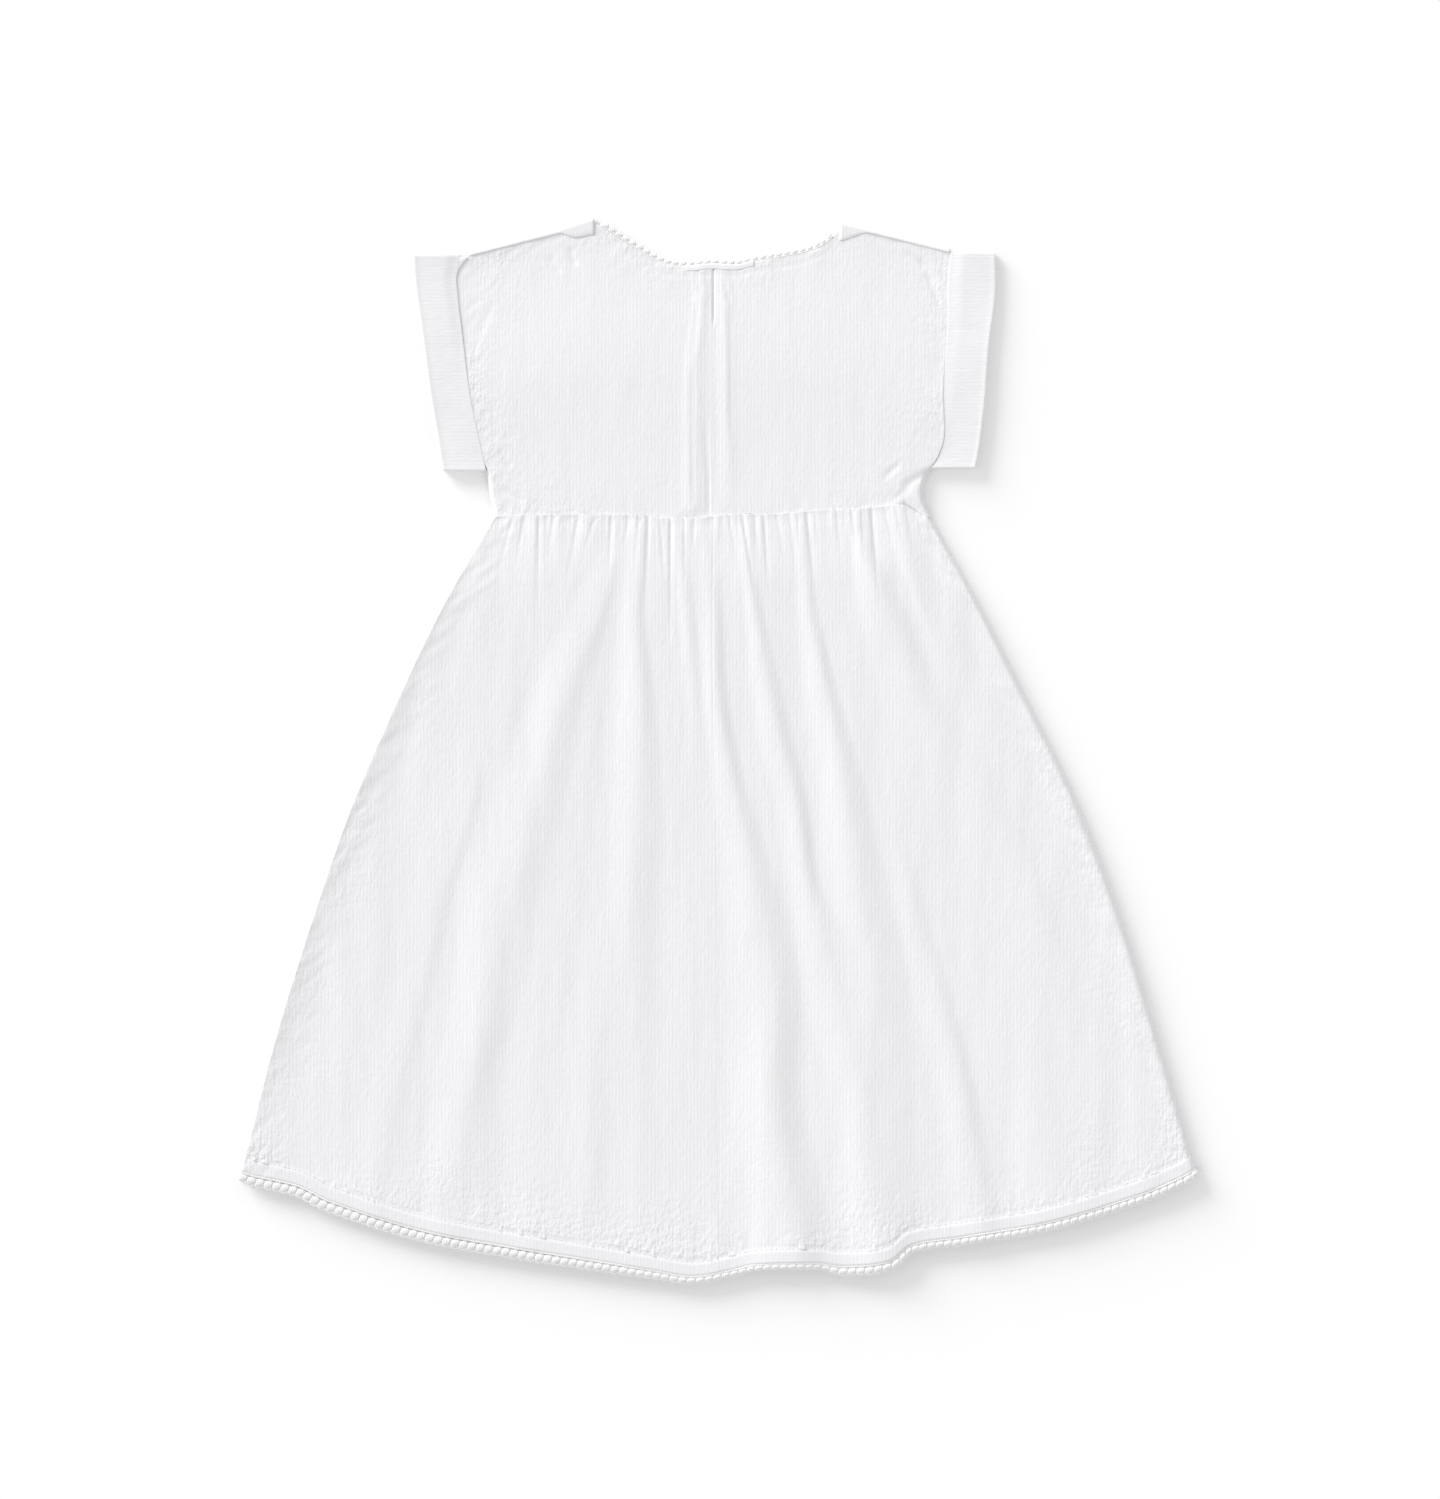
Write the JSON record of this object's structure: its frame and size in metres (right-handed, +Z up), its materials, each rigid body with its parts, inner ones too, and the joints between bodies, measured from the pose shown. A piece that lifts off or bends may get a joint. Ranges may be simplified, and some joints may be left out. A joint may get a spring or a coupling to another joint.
{
  "type": "toddler dress",
  "caption": "Short-sleeved white crinkled-cotton toddler dress with turned-up cuffs, a gathered skirt and crochet-edged neck and hem, laid flat with its back up.",
  "frame": {"origin": "centre of the dress's bounding box, on the surface that it lies on", "axes": "+Z up from the surface, with the back of the dress uppermost; +Y from the hem to the neck; +X to the right as seen from above with the neck at the top, which is the wearer's right side"},
  "size_m": [0.5394, 0.6003, 0.0115],
  "materials": {
    "cotton": "matt crinkled cotton with fine lengthwise ribs",
    "crochet": "matt cotton crochet"
  },
  "bodies": {
    "root": {"bodice_back_left": "cotton", "bodice_back_right": "cotton", "bodice_front": "cotton", "cuff_left": "cotton", "cuff_right": "cotton", "skirt_back_left": "cotton", "skirt_back_right": "cotton", "skirt_front": "cotton", "sleeve_left": "cotton", "sleeve_right": "cotton", "hem_edging_back": "crochet", "hem_edging_front": "crochet", "neck_edging_back": "crochet", "neck_edging_front": "crochet"}
  },
  "joints": []
}
